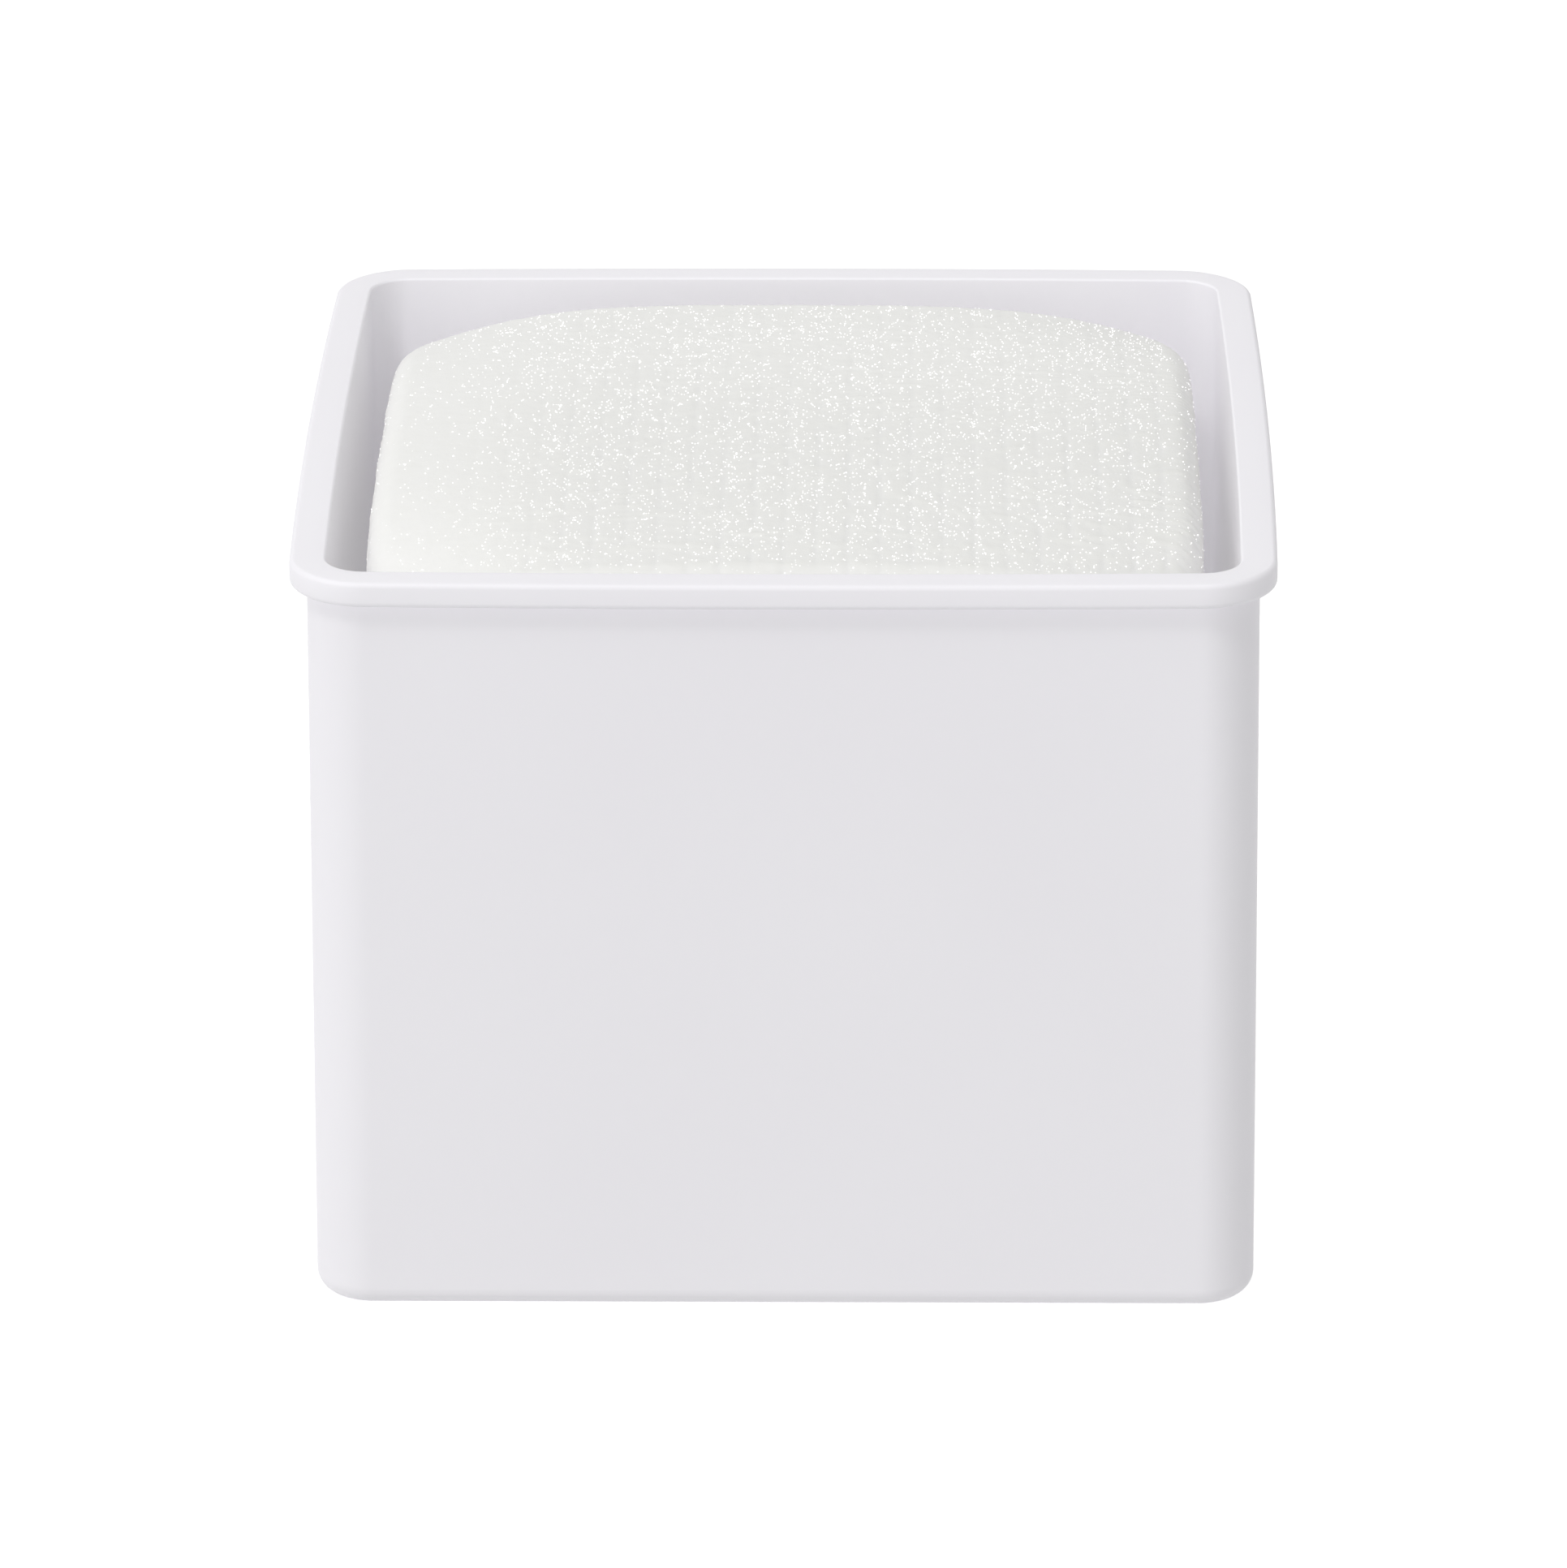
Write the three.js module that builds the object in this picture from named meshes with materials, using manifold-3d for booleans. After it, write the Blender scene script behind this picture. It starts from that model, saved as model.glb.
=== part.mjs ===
// Gymnastics chalk block: a pressed cake of magnesium carbonate standing loose in an open square
// tub. Millimetres, +Z up, origin at the centre of the tub's foot, front face towards -Y.
import * as THREE from 'three';
import { mergeVertices } from 'three/addons/utils/BufferGeometryUtils.js';
import Module from 'manifold-3d';

// The tub: overall size and wall.
const RIM_SPAN = 64.0;          // across the rim, from mid-side to mid-side
const TUB_HEIGHT = 51.0;        // foot to rim top
const WALL_THICKNESS = 1.25;
const FLOOR_THICKNESS = 1.5;
const WALL_CORNER_RADIUS = 3.5; // upright outer corners
const BORE_CORNER_RADIUS = 2.4; // upright inner corners
const BASE_ROUND = 1.4;         // outer edge all round the foot
const BORE_ROUND = 1.2;         // inner edge all round the floor

// The rim flange that stands out round the mouth.
const RIM_OVERHANG = 1.13;
const RIM_DEPTH = 1.7;
const RIM_CORNER_RADIUS = 4.9;
const RIM_ROUND = 0.5;          // upper and lower outer edges of the flange
const MOUTH_BOW = 0.45;         // how far the sides of the rim and bore swell past straight

// The shallow recess under the floor, which leaves a ring to stand on.
const FOOT_RING_WIDTH = 3.6;
const RECESS_DEPTH = 0.4;
const RECESS_CORNER_RADIUS = 2.0;

// The chalk cake.
const CAKE_SIDE_GAP = 2.3;      // cake to wall, each side
const CAKE_FLOOR_GAP = 0.1;
const CAKE_CORNER_RADIUS = 6.5;
const CAKE_ROUND = 1.6;         // pressed edge, top and bottom
const CAKE_BOW = 0.25;
const CROWN_BELOW_RIM = 0.4;    // top of the dome under the rim
const CROWN_DROP = 0.25;        // fall of the dome at mid-side
const CROWN_POWER = 9.5;        // how sharply the dome rolls off towards the corners

// Facets.
const SIDE_STEPS = 6;
const CORNER_STEPS = 8;
const ROUND_STEPS = 5;
const DOME_STEPS = 14;
const DOME_SPOKES = 48;
const STRAIGHT_BOW = 0.01;      // a side that is straight to the eye
const CUT_MARGIN = 5;           // how far a cutting solid runs past what it cuts

const manifold = await Module();
manifold.setup();

// A square outline with rounded corners: four very flat side arcs joined by four corner arcs,
// tangent where they meet. span is measured between the middles of opposite sides.
function squareOutline(span, cornerRadius, bow) {
  const half = span / 2;
  const sideRadius = (half * half) / (2 * bow);
  const sideCentre = half - sideRadius;
  const swing = sideRadius - cornerRadius;
  const cornerCentre = (sideCentre + Math.sqrt(2 * swing ** 2 - sideCentre ** 2)) / 2;
  const join = Math.asin(cornerCentre / swing);
  const points = [];
  for (let side = 0; side < 4; side += 1) {
    const turn = (side * Math.PI) / 2;
    const sideAt = new THREE.Vector2(sideCentre, 0).rotateAround(new THREE.Vector2(), turn);
    const cornerAt = new THREE.Vector2(cornerCentre, cornerCentre);
    cornerAt.rotateAround(new THREE.Vector2(), turn);
    const sideArc = new THREE.EllipseCurve(
      sideAt.x, sideAt.y, sideRadius, sideRadius, turn - join, turn + join);
    const cornerArc = new THREE.EllipseCurve(
      cornerAt.x, cornerAt.y, cornerRadius, cornerRadius, turn + join, turn + Math.PI / 2 - join);
    points.push(...sideArc.getPoints(SIDE_STEPS).slice(0, -1));
    points.push(...cornerArc.getPoints(CORNER_STEPS).slice(0, -1));
  }
  return new THREE.Shape(points);
}

// An outline extruded between two heights, with its end edges rounded.
function roundedSlab(outline, low, high, round) {
  const geometry = new THREE.ExtrudeGeometry(outline, {
    depth: high - low - 2 * round,
    bevelEnabled: true,
    bevelThickness: round,
    bevelSize: round,
    bevelOffset: -round,
    bevelSegments: ROUND_STEPS,
  });
  geometry.translate(0, 0, low + round);
  return geometry;
}

function toSolid(geometry) {
  geometry.deleteAttribute('normal');
  geometry.deleteAttribute('uv');
  const merged = mergeVertices(geometry);
  return new manifold.Manifold(new manifold.Mesh({
    numProp: 3,
    vertProperties: Float32Array.from(merged.attributes.position.array),
    triVerts: Uint32Array.from(merged.index.array),
  }));
}

function toGeometry(solid) {
  const mesh = solid.getMesh();
  const geometry = new THREE.BufferGeometry();
  geometry.setAttribute('position', new THREE.BufferAttribute(mesh.vertProperties, 3));
  geometry.setIndex(new THREE.BufferAttribute(mesh.triVerts, 1));
  geometry.computeVertexNormals();
  return geometry;
}

// The tub is one moulding: straight walls and floor, a rim flange, the hollow for the cake and the
// recess under the foot.
function makeTub() {
  const wallSpan = RIM_SPAN - 2 * RIM_OVERHANG;
  const boreSpan = wallSpan - 2 * WALL_THICKNESS;
  const recessSpan = wallSpan - 2 * (BASE_ROUND + FOOT_RING_WIDTH);
  const rimLow = TUB_HEIGHT - RIM_DEPTH;

  // The wall stops inside the flange, where its upper rounded edge is swallowed.
  const wallOutline = squareOutline(wallSpan, WALL_CORNER_RADIUS, STRAIGHT_BOW);
  const walls = toSolid(roundedSlab(wallOutline, 0, TUB_HEIGHT + CUT_MARGIN, BASE_ROUND));
  const rimOutline = squareOutline(RIM_SPAN, RIM_CORNER_RADIUS, MOUTH_BOW);
  const flange = toSolid(roundedSlab(rimOutline, rimLow, TUB_HEIGHT, RIM_ROUND));
  const aboveRim = new THREE.BoxGeometry(2 * RIM_SPAN, 2 * RIM_SPAN, 2 * CUT_MARGIN);
  aboveRim.translate(0, 0, TUB_HEIGHT + CUT_MARGIN);

  const boreOutline = squareOutline(boreSpan, BORE_CORNER_RADIUS, MOUTH_BOW);
  const hollow = toSolid(
    roundedSlab(boreOutline, FLOOR_THICKNESS, TUB_HEIGHT + CUT_MARGIN, BORE_ROUND));
  const recess = new THREE.ExtrudeGeometry(
    squareOutline(recessSpan, RECESS_CORNER_RADIUS, STRAIGHT_BOW),
    { depth: RECESS_DEPTH + CUT_MARGIN, bevelEnabled: false });
  recess.translate(0, 0, -CUT_MARGIN);

  const solid = walls.subtract(toSolid(aboveRim)).add(flange)
    .subtract(hollow).subtract(toSolid(recess));
  const material = new THREE.MeshStandardMaterial({
    color: '#e9e9ed', roughness: 0.38, metalness: 0 });
  const tub = new THREE.Mesh(toGeometry(solid), material);
  tub.name = 'tub';
  return tub;
}

// The cake is a square prism with pressed edges, cut by a dome that rolls off towards the corners.
function makeChalkBlock() {
  const span = RIM_SPAN - 2 * (RIM_OVERHANG + WALL_THICKNESS + CAKE_SIDE_GAP);
  const low = FLOOR_THICKNESS + CAKE_FLOOR_GAP;
  const high = TUB_HEIGHT - CROWN_BELOW_RIM;
  const outline = squareOutline(span, CAKE_CORNER_RADIUS, CAKE_BOW);
  const prism = toSolid(roundedSlab(outline, low, high, CAKE_ROUND));

  const domeRadius = span * Math.SQRT1_2;
  const domeFoot = low - CUT_MARGIN;
  const profile = [new THREE.Vector2(0, domeFoot), new THREE.Vector2(domeRadius, domeFoot)];
  for (let step = DOME_STEPS; step >= 0; step -= 1) {
    const radius = (domeRadius * step) / DOME_STEPS;
    const drop = CROWN_DROP * (radius / (span / 2)) ** CROWN_POWER;
    profile.push(new THREE.Vector2(radius, high - drop));
  }
  const dome = new THREE.LatheGeometry(profile, DOME_SPOKES);
  dome.rotateX(Math.PI / 2);

  const material = new THREE.MeshStandardMaterial({
    color: '#ecebe8', roughness: 0.95, metalness: 0 });
  const block = new THREE.Mesh(toGeometry(prism.intersect(toSolid(dome))), material);
  block.name = 'chalk_block';
  return block;
}

const chalkTub = new THREE.Group();
chalkTub.add(makeTub());
chalkTub.add(makeChalkBlock());

export default chalkTub;
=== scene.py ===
# Gymnastics chalk block: a pressed cake of magnesium carbonate standing in an open square tub.
import math
import random

import bmesh
import bpy
from mathutils import Matrix, Vector, noise


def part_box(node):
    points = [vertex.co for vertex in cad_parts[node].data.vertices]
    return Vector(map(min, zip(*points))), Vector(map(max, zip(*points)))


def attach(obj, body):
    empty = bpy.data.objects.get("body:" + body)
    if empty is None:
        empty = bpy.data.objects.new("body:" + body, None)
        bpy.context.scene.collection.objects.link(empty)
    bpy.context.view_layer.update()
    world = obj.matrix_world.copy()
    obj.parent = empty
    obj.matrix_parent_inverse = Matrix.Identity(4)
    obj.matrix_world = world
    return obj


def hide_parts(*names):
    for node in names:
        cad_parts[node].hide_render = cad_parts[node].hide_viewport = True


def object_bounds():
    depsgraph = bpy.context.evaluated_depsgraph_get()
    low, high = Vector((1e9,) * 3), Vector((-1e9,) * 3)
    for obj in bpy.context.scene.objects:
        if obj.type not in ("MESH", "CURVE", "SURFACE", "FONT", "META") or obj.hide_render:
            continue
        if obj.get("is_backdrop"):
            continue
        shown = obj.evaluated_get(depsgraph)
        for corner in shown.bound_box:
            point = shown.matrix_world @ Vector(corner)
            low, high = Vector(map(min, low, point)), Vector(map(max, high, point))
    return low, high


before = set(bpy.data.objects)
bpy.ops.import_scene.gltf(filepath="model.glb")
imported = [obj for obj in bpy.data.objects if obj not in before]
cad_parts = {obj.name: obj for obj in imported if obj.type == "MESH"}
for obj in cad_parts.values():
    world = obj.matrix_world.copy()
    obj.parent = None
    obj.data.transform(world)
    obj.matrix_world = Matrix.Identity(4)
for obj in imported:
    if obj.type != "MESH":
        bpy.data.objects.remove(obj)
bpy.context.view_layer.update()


# Tub. One injection moulding in white polypropylene: a square box with a thick flange round its
# mouth. The walls are straight, the mouth swells a little on each side, and every edge is radiused
# so that the part leaves its mould.
MM = 0.001
tub_low, tub_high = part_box("tub")
rim_span = tub_high.x - tub_low.x
tub_height = tub_high.z
overhang = 1.13 * MM
wall_thickness = 1.25 * MM
floor_thickness = 1.5 * MM
rim_depth = 1.7 * MM
rim_low = tub_height - rim_depth
rim_corner = 4.9 * MM
mouth_bow = 0.45 * MM
wall_half = rim_span / 2 - overhang
foot_round = 1.4 * MM
flange_top_round = 0.35 * MM
flange_low_round = 0.4 * MM
mouth_round = 0.18 * MM
ledge_round = 0.2 * MM
floor_round = 1.2 * MM
ledge_reach = wall_half + 0.5 * MM


def hex_colour(code):
    """An sRGB hex colour as linear red, green, blue and alpha."""
    channels = [int(code[i:i + 2], 16) / 255 for i in (1, 3, 5)]
    linear = [c / 12.92 if c <= 0.04045 else ((c + 0.055) / 1.055) ** 2.4 for c in channels]
    return (*linear, 1.0)


def add_node(tree, kind, settings=None, **inputs):
    """Adds a node, sets its properties, and sets or links its inputs by name or number."""
    node = tree.nodes.new(kind)
    for name, value in (settings or {}).items():
        setattr(node, name, value)
    for name, value in inputs.items():
        socket = node.inputs[int(name[1:]) if name[0] == "_" else name.replace("_", " ")]
        if isinstance(value, bpy.types.NodeSocket):
            tree.links.new(value, socket)
        else:
            socket.default_value = value
    return node


def make_piece(name, bm, material, smooth=True):
    """Turns a bmesh into a scene object with one material."""
    mesh = bpy.data.meshes.new(name)
    bm.to_mesh(mesh)
    bm.free()
    for polygon in mesh.polygons:
        polygon.use_smooth = smooth
    mesh.materials.append(material)
    piece = bpy.data.objects.new(name, mesh)
    bpy.context.scene.collection.objects.link(piece)
    return piece


def folded_edges(bm, level, reach=(0.0, 1.0)):
    """The sharp edges at one height, between two half-widths of a square with rounded corners."""
    found = []
    for edge in bm.edges:
        middle = (edge.verts[0].co + edge.verts[1].co) / 2
        flat = all(abs(vert.co.z - level) < 0.01 * MM for vert in edge.verts)
        across = (abs(middle.x / MM) ** 16 + abs(middle.y / MM) ** 16) ** (1 / 16) * MM
        if flat and reach[0] < across < reach[1] and edge.calc_face_angle(0.0) > 1.0:
            found.append(edge)
    return found


def facing(bm, z, level):
    """The faces that point straight up (z = 1) or down (z = -1) at one height."""
    return [f for f in bm.faces
            if f.normal.z * z > 0.9999 and abs(f.calc_center_median().z - level) < 0.01 * MM]


def round_over(bm, edges, radius, steps):
    bmesh.ops.bevel(bm, geom=edges, offset=radius, segments=steps, profile=0.5,
                    affect="EDGES", material=-1)


def draw_out(bm, faces, rise, shrink=1.0):
    """Extrudes faces straight up or down, shrinks them towards the axis, and returns them."""
    drawn = bmesh.ops.extrude_face_region(bm, geom=faces)["geom"]
    bmesh.ops.delete(bm, geom=faces, context="FACES_ONLY")
    verts = [v for v in drawn if isinstance(v, bmesh.types.BMVert)]
    bmesh.ops.translate(bm, verts=verts, vec=(0, 0, rise))
    bmesh.ops.scale(bm, verts=verts, vec=(shrink, shrink, 1))
    return [f for f in drawn if isinstance(f, bmesh.types.BMFace)]


tub_bm = bmesh.new()
slab = Matrix.Translation((0, 0, tub_height - rim_depth / 2))
slab = slab @ Matrix.Diagonal((rim_span, rim_span, rim_depth, 1))
bmesh.ops.create_cube(tub_bm, size=1, matrix=slab)
uprights = [e for e in tub_bm.edges if abs(e.verts[0].co.z - e.verts[1].co.z) > rim_depth / 2]
round_over(tub_bm, uprights, rim_corner, 18)
long_edges = [e for e in tub_bm.edges if e.calc_length() > rim_span / 2]
bmesh.ops.subdivide_edges(tub_bm, edges=long_edges, cuts=15)

# From the flange's underside the walls go straight down to the foot.
tub_bm.normal_update()
underside = facing(tub_bm, -1, rim_low)
bmesh.ops.inset_region(tub_bm, faces=underside, thickness=overhang, use_even_offset=True)
draw_out(tub_bm, underside, -rim_low)

# From the flange's top the bore goes down to the floor.
tub_bm.normal_update()
mouth = facing(tub_bm, 1, tub_height)
bmesh.ops.inset_region(tub_bm, faces=mouth, thickness=overhang + wall_thickness,
                       use_even_offset=True)
draw_out(tub_bm, mouth, floor_thickness - tub_height)

# Every fold gets the radius that the mould has there.
tub_bm.normal_update()
round_over(tub_bm, folded_edges(tub_bm, tub_height, (wall_half, 1)), flange_top_round, 6)
round_over(tub_bm, folded_edges(tub_bm, tub_height, (0, wall_half)), mouth_round, 4)
round_over(tub_bm, folded_edges(tub_bm, rim_low, (ledge_reach, 1)), flange_low_round, 6)
round_over(tub_bm, folded_edges(tub_bm, rim_low, (0, ledge_reach)), ledge_round, 3)
round_over(tub_bm, folded_edges(tub_bm, floor_thickness), floor_round, 6)
round_over(tub_bm, folded_edges(tub_bm, 0), foot_round, 8)

# Under the floor a shallow recess leaves a foot ring, and the gate where the plastic came in
# leaves a round dimple with the stub of the sprue.
recess_depth = 0.4 * MM
foot_ring = 3.6 * MM
foot_half = wall_half - foot_round
tub_bm.normal_update()
foot = facing(tub_bm, -1, 0)
ring = draw_out(tub_bm, foot, 0, 1 - foot_ring / foot_half)
ceiling = draw_out(tub_bm, ring, recess_depth, 0.99)
ceiling_rim = list(ceiling[0].edges)
bmesh.ops.delete(tub_bm, geom=ceiling, context="FACES_ONLY")
gate = bmesh.ops.create_circle(tub_bm, segments=len(ceiling_rim), radius=4 * MM,
                               matrix=Matrix.Translation((0, 0, recess_depth)))
gate_loop = list({e for v in gate["verts"] for e in v.link_edges})
bmesh.ops.bridge_loops(tub_bm, edges=ceiling_rim + gate_loop)
for radius, height in ((3.7, 0.55), (1.0, 0.55), (0.85, 0.3), (0.7, 0.25)):
    step = bmesh.ops.extrude_edge_only(tub_bm, edges=gate_loop)
    gate_loop = [e for e in step["geom"] if isinstance(e, bmesh.types.BMEdge)]
    for vert in {v for e in gate_loop for v in e.verts}:
        flat = Vector((vert.co.x, vert.co.y, 0)).normalized() * radius * MM
        vert.co = flat + Vector((0, 0, height * MM))
bmesh.ops.edgeloop_fill(tub_bm, edges=gate_loop)
bmesh.ops.recalc_face_normals(tub_bm, faces=tub_bm.faces)

# The mouth swells a little: most in the middle of each side, and not at all at the foot.
for vert in tub_bm.verts:
    x, y, z = vert.co
    rise = z / tub_height
    vert.co.x -= x / (rim_span / 2) * mouth_bow * (y / (rim_span / 2)) ** 2 * rise
    vert.co.y -= y / (rim_span / 2) * mouth_bow * (x / (rim_span / 2)) ** 2 * rise

# Polypropylene, injection moulded in a fine satin tool: an even cool white, half gloss, with a
# barely visible ripple from the flow and a fine grain from the tool.
plastic = bpy.data.materials.new("moulded_polypropylene")
plastic.use_nodes = True
tree = plastic.node_tree
tree.nodes.clear()
place = add_node(tree, "ShaderNodeTexCoord")
flow = add_node(tree, "ShaderNodeTexNoise", Vector=place.outputs["Object"],
                Scale=1 / (18 * MM), Detail=2.0, Roughness=0.4)
tint = add_node(tree, "ShaderNodeMix", {"data_type": "RGBA"}, Factor=flow.outputs["Fac"],
                _6=hex_colour("#f5f3f8"), _7=hex_colour("#f9f7fc"))
gloss = add_node(tree, "ShaderNodeMapRange", Value=flow.outputs["Fac"], To_Min=0.46, To_Max=0.54)
ripple = add_node(tree, "ShaderNodeTexNoise", Vector=place.outputs["Object"],
                  Scale=1 / (6 * MM), Detail=1.0)
grain = add_node(tree, "ShaderNodeTexNoise", Vector=place.outputs["Object"],
                 Scale=1 / (0.25 * MM), Detail=2.0)
waves = add_node(tree, "ShaderNodeBump", Height=ripple.outputs["Fac"],
                 Strength=0.15, Distance=0.02 * MM)
skin = add_node(tree, "ShaderNodeBump", Height=grain.outputs["Fac"], Normal=waves.outputs["Normal"],
                Strength=0.2, Distance=0.004 * MM)
shader = add_node(tree, "ShaderNodeBsdfPrincipled", Base_Color=tint.outputs[2],
                  Roughness=gloss.outputs["Result"], Normal=skin.outputs["Normal"], IOR=1.49,
                  Subsurface_Weight=0.2, Subsurface_Scale=2.0 * MM,
                  Subsurface_Radius=(1.0, 0.95, 1.0))
add_node(tree, "ShaderNodeOutputMaterial", Surface=shader.outputs["BSDF"])

tub = make_piece("moulded_tub", tub_bm, plastic)
weighted = tub.modifiers.new("even_normals", "WEIGHTED_NORMAL")
weighted.keep_sharp = True
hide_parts("tub")
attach(tub, "tub")


# Chalk cake. Magnesium carbonate powder pressed in a cloth-lined box into one rigid block. The
# cloth leaves ribs along the cake's depth with short bars across them; the top is slightly domed
# and falls away at the corners, and the print is faint along the left edge.
cake_low, cake_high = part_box("chalk_block")
cake_half = (cake_high.x - cake_low.x) / 2
cake_round = 1.6 * MM
crown = cake_high.z
crown_fall = 0.4 * MM
corner_fall = 3.8 * MM
corner_power = 3.6
plan_power = 10
plan_cut = 0.135
rib_pitch = 2.06 * MM
groove_depth = 0.052 * MM
groove_width = 0.21 * MM
bar_pitch = 2.9 * MM
bar_height = 0.055 * MM
bar_share = 0.14
bar_slant = 0.74
bar_sway = 0.7 * MM
fine_bars = 2.3
powder_depth = 0.016 * MM


def smooth_step(low, high, value):
    """Rises smoothly from 0 at low to 1 at high."""
    t = min(max((value - low) / (high - low), 0.0), 1.0)
    return t * t * (3 - 2 * t)


def plan(u, v, half):
    """A place on the unit square, moved to the cake's round-cornered plan."""
    x = u * math.sqrt(1 - plan_cut * abs(v) ** plan_power)
    y = v * math.sqrt(1 - plan_cut * abs(u) ** plan_power)
    return x * half, y * half


def dome(x, y):
    """Height of the pressed top before the cloth's print."""
    u, v = abs(x) / cake_half, abs(y) / cake_half
    lean = 1 - 0.1 * x / cake_half
    return crown - crown_fall * (u ** 4 + v ** 4) - corner_fall * lean * (u * v) ** corner_power


def bite(x, y):
    """How hard the cloth was pressed in: hardly at the left edge, less at the back, most in front."""
    across = smooth_step(-26 * MM, -12 * MM, x) + 0.3 * smooth_step(17 * MM, 27 * MM, x)
    return across * (0.5 + 0.5 * smooth_step(17 * MM, -4 * MM, y))


def cloth(x, y, hard):
    """Depth of the print where the ribs run along y: grooves between ribs, bars, and powder."""
    here = Vector((x, y, 0)) / MM
    column = (x + 0.12 * MM * noise.noise(here / 5 + Vector((7, 0, 0)))) / rib_pitch
    off_groove = abs(column - round(column)) * rib_pitch
    groove = math.exp(-(off_groove / groove_width) ** 2) * (0.7 + 1.1 * noise.noise(here / 1.6))
    slant = bar_slant * smooth_step(16, 6, abs(here.y + 4)) * (x + 6 * MM)
    sway = bar_sway * noise.noise(here / 6 + Vector((0, 13, 0)))
    place = (y - slant + sway) / bar_pitch + 0.2 * math.sin(5 * math.floor(column + 0.5))
    off_bar = abs(place - round(place))
    fine_bar = abs(fine_bars * place - round(fine_bars * place))
    bar = math.exp(-(off_bar / bar_share) ** 2) + 0.45 * math.exp(-(fine_bar / 0.2) ** 2)
    patch = min(max(0.55 + 1.3 * noise.noise(here / 3 + Vector((3, 3, 0))), 0), 1.2)
    powder = noise.noise(here / 0.8) + 0.7 * noise.noise(here / 0.4)
    print_depth = groove_depth * max(groove, 0) + bar_height * (1 - bar * patch)
    return hard * print_depth + powder_depth * powder


def skin(u, v, turn):
    """A point on the top, or on the shoulder when turn is more than 0, before the print."""
    x, y = plan(u, v, cake_half - cake_round * (1 - math.sin(turn)))
    z = dome(x, y) - cake_round * (1 - math.cos(turn))
    return x, y, z


def side_print(x, y, z):
    """Depth of the print on a side, where the ribs run up and down."""
    return cloth(x if abs(y) > abs(x) else y, z, 0.8)


cake_bm = bmesh.new()
top_cells = 250
turns = [math.radians(angle) for angle in (12, 24, 36, 48, 60, 75, 90)]
side_rings = 15
bmesh.ops.create_grid(cake_bm, x_segments=top_cells, y_segments=top_cells, size=1)
ring_layer = cake_bm.verts.layers.int.new("ring")
edge_loop = [e for e in cake_bm.edges if e.is_boundary]
for ring in range(1, 2 * len(turns) + side_rings):
    step = bmesh.ops.extrude_edge_only(cake_bm, edges=edge_loop)
    edge_loop = [e for e in step["geom"] if isinstance(e, bmesh.types.BMEdge)]
    for vert in {v for e in edge_loop for v in e.verts}:
        vert[ring_layer] = ring
bmesh.ops.edgeloop_fill(cake_bm, edges=edge_loop)

# Two colour masks ride on the vertices. The print's depth paints shade into the grooves. The cloth's
# bite paints the cake lighter on the left and at the back.
groove_shade_layer = cake_bm.verts.layers.float.new("groove_shade")
bite_shade_layer = cake_bm.verts.layers.float.new("bite_shade")
for vert in cake_bm.verts:
    u, v, ring = vert.co.x, vert.co.y, vert[ring_layer]
    turn = turns[min(ring, len(turns)) - 1] if ring else 0.0
    x, y, z = skin(u, v, turn)
    if ring > len(turns):
        down = min((ring - len(turns)) / side_rings, 1.0)
        z += (cake_low.z + cake_round - z) * down
    depth = cloth(x, y, bite(x, y)) if turn < 1 else side_print(x, y, z)
    if ring > len(turns) + side_rings:
        low_turn = turns[2 * len(turns) + side_rings - 1 - ring]
        x, y = plan(u, v, cake_half - cake_round * (1 - math.sin(low_turn)))
        z = cake_low.z + cake_round * (1 - math.cos(low_turn))
    out = Vector((x, y, 0)).normalized()
    vert.co = Vector((x, y, z)) - depth * (out * math.sin(turn) + Vector((0, 0, math.cos(turn))))
    vert[groove_shade_layer] = depth / (groove_depth + bar_height)
    vert[bite_shade_layer] = bite(x, y)
bmesh.ops.recalc_face_normals(cake_bm, faces=cake_bm.faces)

# Pressed chalk: a dead matt, faintly warm white, softly mottled and finely grained. Painted shade
# darkens the colour where the cloth's print lies deepest, so the grooves read darker. A painted
# gradient of light makes the cake lighter along the left edge and at the back, and darker in front.
chalk = bpy.data.materials.new("pressed_magnesium_carbonate")
chalk.use_nodes = True
tree = chalk.node_tree
tree.nodes.clear()
place = add_node(tree, "ShaderNodeTexCoord")
mottle = add_node(tree, "ShaderNodeTexNoise", Vector=place.outputs["Object"],
                  Scale=1 / (1.4 * MM), Detail=3.0, Roughness=0.6)
# Painted light: the colour is lighter where the cloth bit least, along the left edge and at the back,
# and darker in front.
bite_shade_lookup = add_node(tree, "ShaderNodeAttribute", {"attribute_name": "bite_shade"})
bite_shade_factor = add_node(tree, "ShaderNodeMapRange", Value=bite_shade_lookup.outputs["Fac"], From_Max=1.3)
bite_shaded_colour = add_node(tree, "ShaderNodeMix", {"data_type": "RGBA"}, Factor=bite_shade_factor.outputs["Result"],
                _6=hex_colour("#f8f8f6"), _7=hex_colour("#f0f0ed"))
tint = add_node(tree, "ShaderNodeMix", {"data_type": "RGBA", "blend_type": "MULTIPLY"},
                Factor=mottle.outputs["Fac"], _6=bite_shaded_colour.outputs[2], _7=hex_colour("#fbfbfa"))
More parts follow.
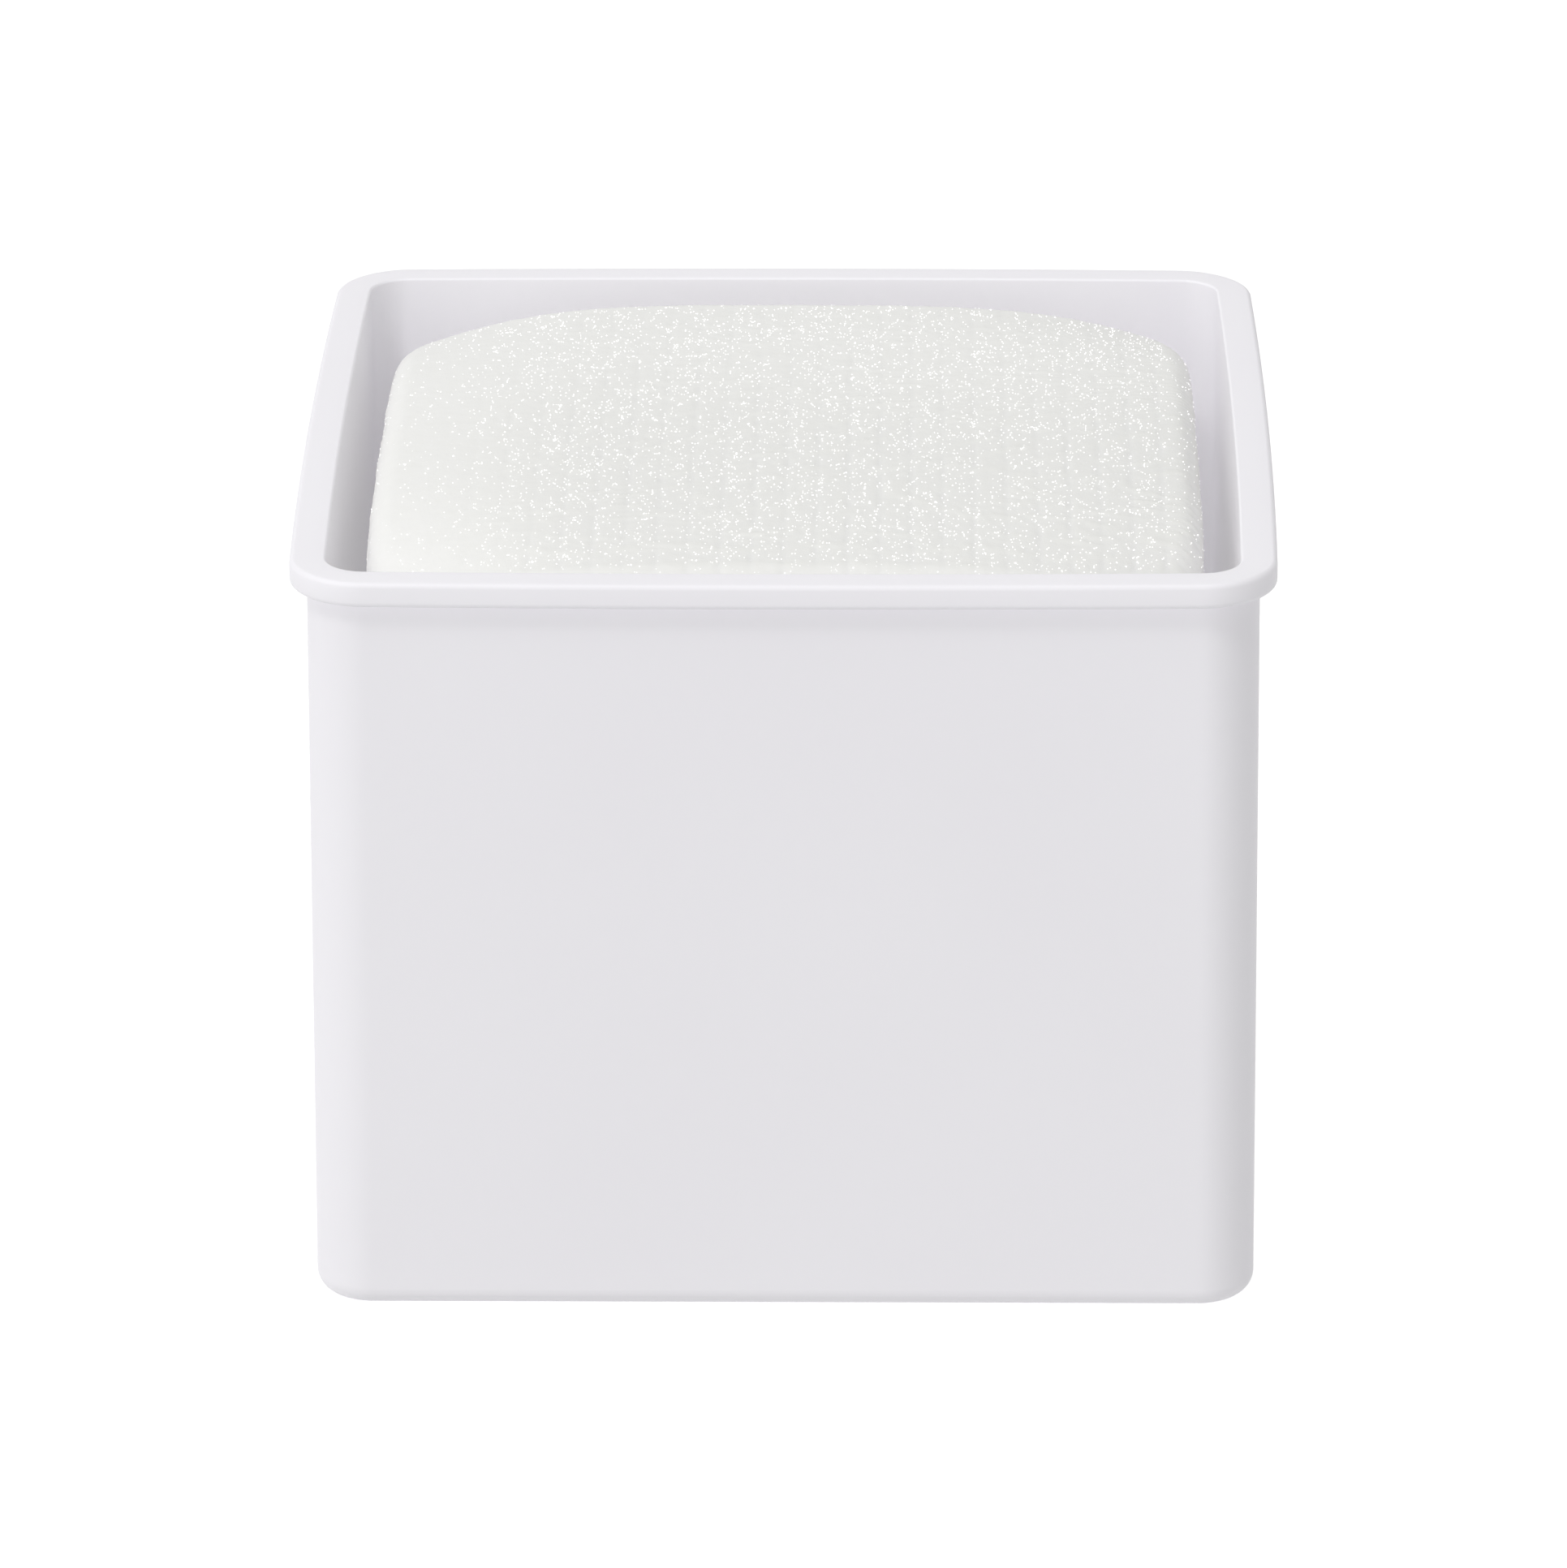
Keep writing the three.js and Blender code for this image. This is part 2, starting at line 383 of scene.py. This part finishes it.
# Painted shade: the deeper the print, the darker the colour, so grooves are darker and bars lighter.
pressed = add_node(tree, "ShaderNodeAttribute", {"attribute_name": "groove_shade"})
shade = add_node(tree, "ShaderNodeMapRange", Value=pressed.outputs["Fac"], From_Min=0.25)
groove_shaded_colour = add_node(tree, "ShaderNodeMix", {"data_type": "RGBA"}, Factor=shade.outputs["Result"],
                  _6=tint.outputs[2], _7=hex_colour("#eeeeec"))
powder = add_node(tree, "ShaderNodeTexNoise", Vector=place.outputs["Object"],
                  Scale=1 / (0.22 * MM), Detail=4.0, Roughness=0.65)
grit = add_node(tree, "ShaderNodeBump", Height=powder.outputs["Fac"],
                Strength=0.5, Distance=0.03 * MM)
buried = add_node(tree, "ShaderNodeTexVoronoi", Vector=place.outputs["Object"],
                  Scale=1 / (0.5 * MM))
speck = add_node(tree, "ShaderNodeMapRange", Value=buried.outputs["Distance"],
                 From_Min=0.06, From_Max=0.11, To_Min=1.0, To_Max=0.0)
specked = add_node(tree, "ShaderNodeMix", {"data_type": "RGBA"}, Factor=speck.outputs["Result"],
                   _6=groove_shaded_colour.outputs[2], _7=hex_colour("#ffffff"))
shader = add_node(tree, "ShaderNodeBsdfPrincipled", Base_Color=specked.outputs[2],
                  Roughness=0.95, Normal=grit.outputs["Normal"], IOR=1.5)
shader.inputs["Specular IOR Level"].default_value = 0.2
add_node(tree, "ShaderNodeOutputMaterial", Surface=shader.outputs["BSDF"])

cake = make_piece("pressed_chalk_cake", cake_bm, chalk)
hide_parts("chalk_block")
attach(cake, "block")


# Crystals. Coarser grains of the same carbonate stand in the face of the cake, singly and now and
# then in pairs, fewest along the left edge. Each is a grain 0.05 to 0.13 mm across.
random.seed(7)
grit_bm = bmesh.new()
bmesh.ops.create_icosphere(grit_bm, subdivisions=1, radius=0.5)
grit_mesh = bpy.data.meshes.new("crystal_grain")
grit_bm.to_mesh(grit_mesh)
grit_bm.free()

crystal_bm = bmesh.new()


def set_grain(x, y, z):
    """Sets one crystal in the cake's face, turned and sized at random."""
    size = min(max(random.lognormvariate(math.log(0.067), 0.25), 0.048), 0.13) * MM
    long = random.choice((0.9, 1.0, 1.0, 1.1, 1.3))
    turn = Matrix.Rotation(random.uniform(0, math.pi), 4, "Z") @ Matrix.Rotation(
        random.uniform(-0.7, 0.7), 4, "Y")
    grain = grit_mesh.copy()
    grain.transform(Matrix.Translation((x, y, z)) @ turn
                    @ Matrix.Diagonal((size * long, 0.85 * size, 0.85 * size, 1)))
    crystal_bm.from_mesh(grain)
    bpy.data.meshes.remove(grain)


def set_on_top(u, v):
    x, y, z = skin(u, v, 0.0)
    set_grain(x, y, z - cloth(x, y, bite(x, y)) + 0.025 * MM)


placed = 0
while placed < 6600:
    u, v = random.uniform(-1, 1), random.uniform(-1, 1)
    if random.random() > 0.3 + 0.7 * smooth_step(-0.95, -0.55, u):
        continue
    for grain in range(random.choice((1, 1, 1, 1, 1, 1, 1, 2))):
        near_u, near_v = u + random.gauss(0, 0.009) * min(grain, 1), v + random.gauss(0, 0.02)
        if max(abs(near_u), abs(near_v)) < 1:
            set_on_top(near_u, near_v)
            placed += 1
for number in range(2600):
    edge, along = random.choice((-1, 1)), random.uniform(-1, 1)
    u, v = (edge, along) if number % 2 else (along, edge)
    turn = math.radians(random.uniform(0, 90)) if number < 700 else math.pi / 2
    x, y, z = skin(u, v, turn)
    if number >= 700:
        z = random.uniform(cake_low.z + cake_round, z)
    depth = side_print(x, y, z)
    out = Vector((x, y, 0)).normalized() * math.sin(turn) + Vector((0, 0, math.cos(turn)))
    set_grain(*(Vector((x, y, z)) - depth * out))
bpy.data.meshes.remove(grit_mesh)

# Carbonate crystal: clear white, smooth and glassy on its faces. Grains this fine are too small to
# show a true glint, so an emission stands in for it.
crystal = bpy.data.materials.new("carbonate_crystal")
crystal.use_nodes = True
tree = crystal.node_tree
tree.nodes.clear()
place = add_node(tree, "ShaderNodeTexCoord")
cloud = add_node(tree, "ShaderNodeTexNoise", Vector=place.outputs["Object"],
                 Scale=1 / (0.8 * MM), Detail=1.0)
tint = add_node(tree, "ShaderNodeMix", {"data_type": "RGBA"}, Factor=cloud.outputs["Fac"],
                _6=hex_colour("#fafafa"), _7=hex_colour("#ffffff"))
shader = add_node(tree, "ShaderNodeBsdfPrincipled", Base_Color=tint.outputs[2],
                  Roughness=0.15, IOR=1.6, Emission_Color=hex_colour("#ffffff"),
                  Emission_Strength=0.72)
add_node(tree, "ShaderNodeOutputMaterial", Surface=shader.outputs["BSDF"])

crystals = make_piece("surface_crystals", crystal_bm, crystal, smooth=False)
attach(crystals, "block")


# Studio. A plain white floor and a pale surround, a little brighter on the left and from below.
# Three broad fills throw no shadows, so the gap round the cake stays open. Three soft lamps do: a
# key on the left, one overhead, and one in front that gives the shade under the flange.
floor_bm = bmesh.new()
bmesh.ops.create_circle(floor_bm, cap_ends=True, segments=96, radius=4.0)
floor_white = bpy.data.materials.new("studio_floor")
floor_white.use_nodes = True
floor_shader = floor_white.node_tree.nodes["Principled BSDF"]
floor_shader.inputs["Base Color"].default_value = hex_colour("#f4f4f4")
floor_shader.inputs["Roughness"].default_value = 0.9
floor_shader.inputs["Emission Color"].default_value = hex_colour("#ffffff")
floor_shader.inputs["Emission Strength"].default_value = 0.4
floor = make_piece("studio_floor", floor_bm, floor_white, smooth=False)
floor.visible_diffuse = False
floor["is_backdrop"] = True

world = bpy.data.worlds.new("studio")
bpy.context.scene.world = world
world.use_nodes = True
sky = world.node_tree
sky_way = add_node(sky, "ShaderNodeTexCoord")
sky_slope = add_node(sky, "ShaderNodeVectorMath", {"operation": "DOT_PRODUCT"},
                     _0=sky_way.outputs["Generated"], _1=(-0.08, 0.0, -0.17))
sky_level = add_node(sky, "ShaderNodeMath", {"operation": "ADD"},
                     _0=sky_slope.outputs["Value"], _1=0.575)
sky.links.new(sky_level.outputs[0], sky.nodes["Background"].inputs["Strength"])
sky.nodes["Background"].inputs["Color"].default_value = hex_colour("#ffffff")

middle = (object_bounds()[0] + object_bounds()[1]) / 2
fills = {"left": ((-0.70, -0.55, 0.45), 0.225), "right": ((0.70, -0.55, 0.45), 0.08),
         "behind": ((-0.20, 0.90, 0.40), 0.06)}
for side, (direction, strength) in fills.items():
    data = bpy.data.lights.new("fill_" + side, "SUN")
    data.energy = strength * math.pi
    data.angle = math.radians(40)
    data.use_shadow = False
    lamp = bpy.data.objects.new("fill_" + side, data)
    bpy.context.scene.collection.objects.link(lamp)
    lamp.rotation_euler = Vector(direction).to_track_quat("Z", "Y").to_euler()

lamps = {"key": ((-0.50, 0.15, 0.60), 0.25, 0.12), "overhead": ((0.0, -0.15, 0.85), 0.45, 1.12),
         "front": ((-0.28, -0.42, 0.75), 0.16, 1.1)}
for name, (place, size, power) in lamps.items():
    data = bpy.data.lights.new(name, "AREA")
    data.size = size
    data.energy = power
    lamp = bpy.data.objects.new(name, data)
    bpy.context.scene.collection.objects.link(lamp)
    lamp.location = place
    lamp.rotation_euler = (lamp.location - middle).to_track_quat("Z", "Y").to_euler()

# Camera. A long lens a little above the rim, a shade to the right of square on.
azimuth = math.radians(0.81)
elevation = math.radians(21.52)
distance = 0.639
back = Vector((math.sin(azimuth) * math.cos(elevation),
               -math.cos(azimuth) * math.cos(elevation), math.sin(elevation)))
across = Vector((math.cos(azimuth), math.sin(azimuth), 0))
upward = back.cross(across)
camera_data = bpy.data.cameras.new("camera")
camera_data.lens = 216.8
camera_data.sensor_width = 36.0
camera_data.clip_start = 0.05
camera_data.clip_end = 20.0
camera = bpy.data.objects.new("camera", camera_data)
bpy.context.scene.collection.objects.link(camera)
camera.location = middle + back * distance
aim = middle - across * 0.41 * MM - upward * 0.61 * MM
camera.rotation_euler = (aim - camera.location).to_track_quat("-Z", "Y").to_euler()
camera.rotation_euler.rotate_axis("Z", math.radians(-0.18))
bpy.context.scene.camera = camera

bpy.context.scene.view_settings.view_transform = "Standard"
